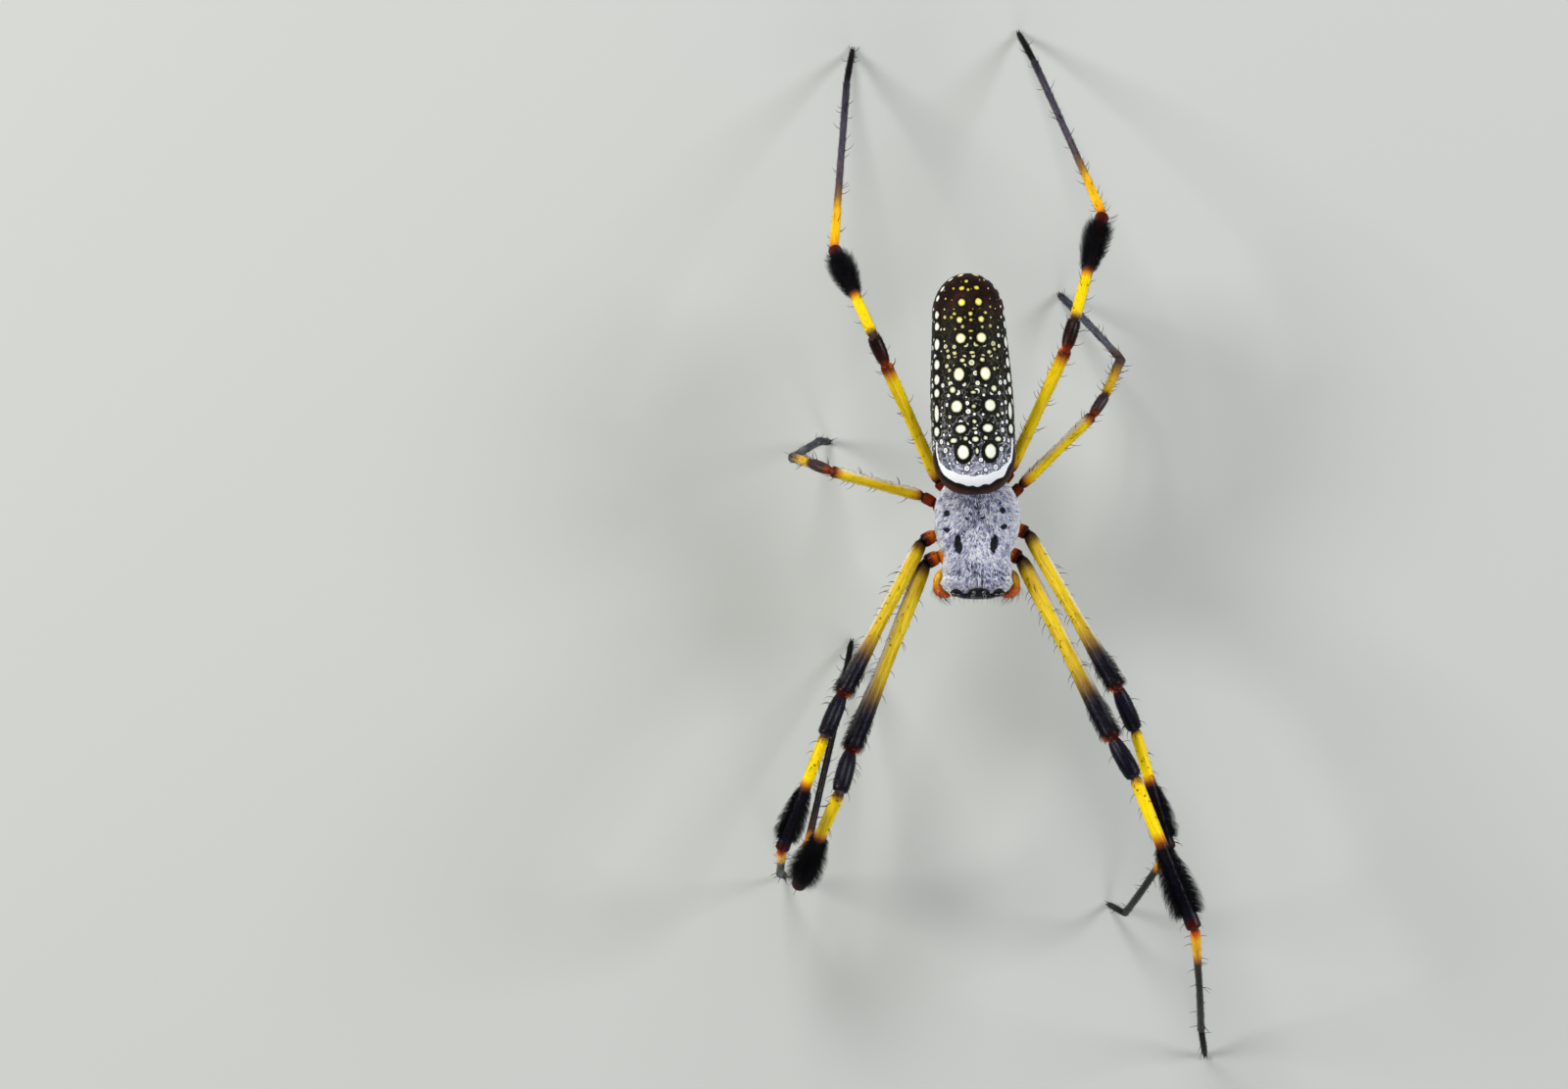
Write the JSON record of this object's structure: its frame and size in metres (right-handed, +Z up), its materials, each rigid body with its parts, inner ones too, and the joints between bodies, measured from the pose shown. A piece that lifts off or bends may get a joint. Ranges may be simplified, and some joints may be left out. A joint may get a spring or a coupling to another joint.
{
  "type": "golden silk orb weaver",
  "caption": "Still life-size model of a long-legged orb-weaving spider, head down, with a silvery carapace, a long spotted abdomen and black hair brushes on its yellow legs.",
  "frame": {"origin": "middle of the bounding box in plan, on the plane that the eight tarsi stand on", "axes": "+Z up and to the back of the spider, -Y to its head, +X to the side of its left legs"},
  "size_m": [0.0388, 0.0908, 0.0216],
  "materials": {
    "carapace_fur": "short silver-grey fur",
    "abdomen_skin": "olive-black skin with pale spots",
    "underside_cuticle": "dark brown satin cuticle",
    "coxa_cuticle": "red-brown glossy cuticle",
    "leg_cuticle_yellow": "translucent golden cuticle",
    "leg_cuticle_dark": "glossy dark purple-brown cuticle",
    "brush_hair": "dense black bristles",
    "jaw_cuticle": "glossy black cuticle",
    "palp_cuticle": "orange cuticle",
    "eye": "polished black lens"
  },
  "bodies": {
    "root": {"carapace": "carapace_fur", "sternum": "underside_cuticle", "pedicel": "underside_cuticle", "abdomen": "abdomen_skin", "spinnerets": "underside_cuticle", "chelicera_left": "jaw_cuticle", "palp_left": "palp_cuticle", "eyes_left": "eye", "chelicera_right": "jaw_cuticle", "palp_right": "palp_cuticle", "eyes_right": "eye", "eyes_median": "eye", "leg_left_1_coxa": "coxa_cuticle", "leg_left_1_femur": "leg_cuticle_yellow", "leg_left_1_patella": "leg_cuticle_dark", "leg_left_1_tibia": "brush_hair", "leg_left_1_metatarsus": "leg_cuticle_dark", "leg_left_1_tarsus": "leg_cuticle_dark", "leg_left_2_coxa": "coxa_cuticle", "leg_left_2_femur": "leg_cuticle_yellow", "leg_left_2_patella": "leg_cuticle_dark", "leg_left_2_tibia": "brush_hair", "leg_left_2_metatarsus": "leg_cuticle_dark", "leg_left_2_tarsus": "leg_cuticle_dark", "leg_left_3_coxa": "coxa_cuticle", "leg_left_3_femur": "leg_cuticle_yellow", "leg_left_3_patella": "leg_cuticle_dark", "leg_left_3_tibia": "leg_cuticle_yellow", "leg_left_3_metatarsus": "leg_cuticle_dark", "leg_left_3_tarsus": "leg_cuticle_dark", "leg_left_4_coxa": "coxa_cuticle", "leg_left_4_femur": "leg_cuticle_yellow", "leg_left_4_patella": "leg_cuticle_dark", "leg_left_4_tibia": "brush_hair", "leg_left_4_metatarsus": "leg_cuticle_dark", "leg_left_4_tarsus": "leg_cuticle_dark", "leg_right_1_coxa": "coxa_cuticle", "leg_right_1_femur": "leg_cuticle_yellow", "leg_right_1_patella": "leg_cuticle_dark", "leg_right_1_tibia": "brush_hair", "leg_right_1_metatarsus": "leg_cuticle_dark", "leg_right_1_tarsus": "leg_cuticle_dark", "leg_right_2_coxa": "coxa_cuticle", "leg_right_2_femur": "leg_cuticle_yellow", "leg_right_2_patella": "leg_cuticle_dark", "leg_right_2_tibia": "brush_hair", "leg_right_2_metatarsus": "leg_cuticle_dark", "leg_right_2_tarsus": "leg_cuticle_dark", "leg_right_3_coxa": "coxa_cuticle", "leg_right_3_femur": "leg_cuticle_yellow", "leg_right_3_patella": "leg_cuticle_dark", "leg_right_3_tibia": "leg_cuticle_yellow", "leg_right_3_metatarsus": "leg_cuticle_dark", "leg_right_3_tarsus": "leg_cuticle_dark", "leg_right_4_coxa": "coxa_cuticle", "leg_right_4_femur": "leg_cuticle_yellow", "leg_right_4_patella": "leg_cuticle_dark", "leg_right_4_tibia": "brush_hair", "leg_right_4_metatarsus": "leg_cuticle_dark", "leg_right_4_tarsus": "leg_cuticle_dark"}
  },
  "joints": []
}
